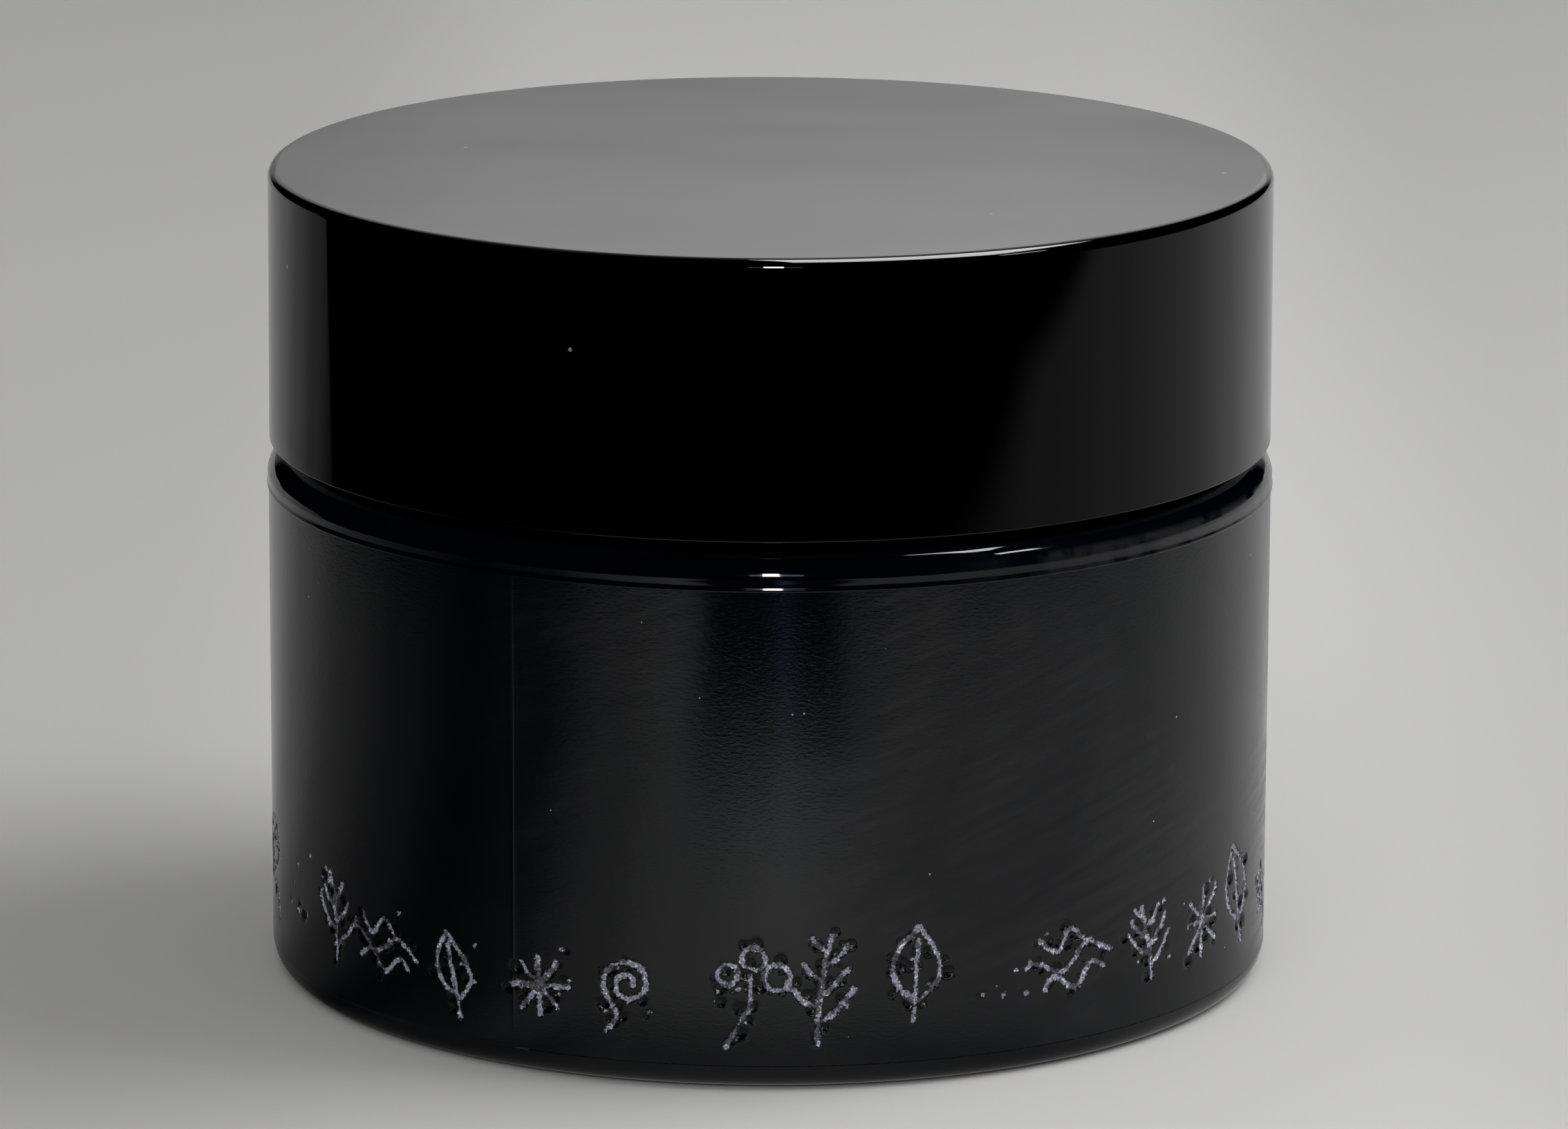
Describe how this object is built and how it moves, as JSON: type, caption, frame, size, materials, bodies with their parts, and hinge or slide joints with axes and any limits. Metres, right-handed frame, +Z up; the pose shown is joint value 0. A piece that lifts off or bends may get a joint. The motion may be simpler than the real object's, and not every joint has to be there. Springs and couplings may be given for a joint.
{
  "type": "cosmetic cream jar",
  "caption": "Straight-sided dark glass cream jar with a glossy black double-wall screw lid, foam liner and dished sealing disc.",
  "frame": {"origin": "centre of the ring that the jar stands on", "axes": "+Z up along the jar's axis and the lid's thread; the thread starts near +Y, and X and Y are otherwise free"},
  "size_m": [0.061, 0.061, 0.0492],
  "materials": {
    "violet_glass": "near-opaque violet-black glass, satin side and fire-polished shoulder",
    "lid_gloss": "mirror gloss black",
    "inner_cap": "moulded polypropylene, semi-matt",
    "liner_foam": "fine closed-cell foam",
    "disc": "translucent milky polyethylene"
  },
  "bodies": {
    "jar": {"glass_jar": "violet_glass"},
    "liner": {"lid_liner": "liner_foam"},
    "lid": {"lid_shell": "lid_gloss", "lid_inner_cap": "inner_cap"},
    "disc": {"sealing_disc": "disc"}
  },
  "joints": [
    {"name": "lid_lift", "type": "slide", "parent": "jar", "child": "liner", "axis": [0, 0, 1], "range_m": [0, 0.03407]},
    {"name": "lid_turn", "type": "hinge", "parent": "liner", "child": "lid", "pos_m": [0, 0, 0.04], "axis": [0, 0, 1], "range_deg": [0, 2880]},
    {"name": "disc_lift", "type": "slide", "parent": "jar", "child": "disc", "axis": [0, 0, 1], "range_m": [0, 0.01544]}
  ],
  "couplings": [
    {"joint": "lid_lift", "follows": "lid_turn", "m_per_rad": 0.00067376},
    {"joint": "disc_lift", "follows": "lid_turn", "m_per_rad": 0.00030319}
  ]
}
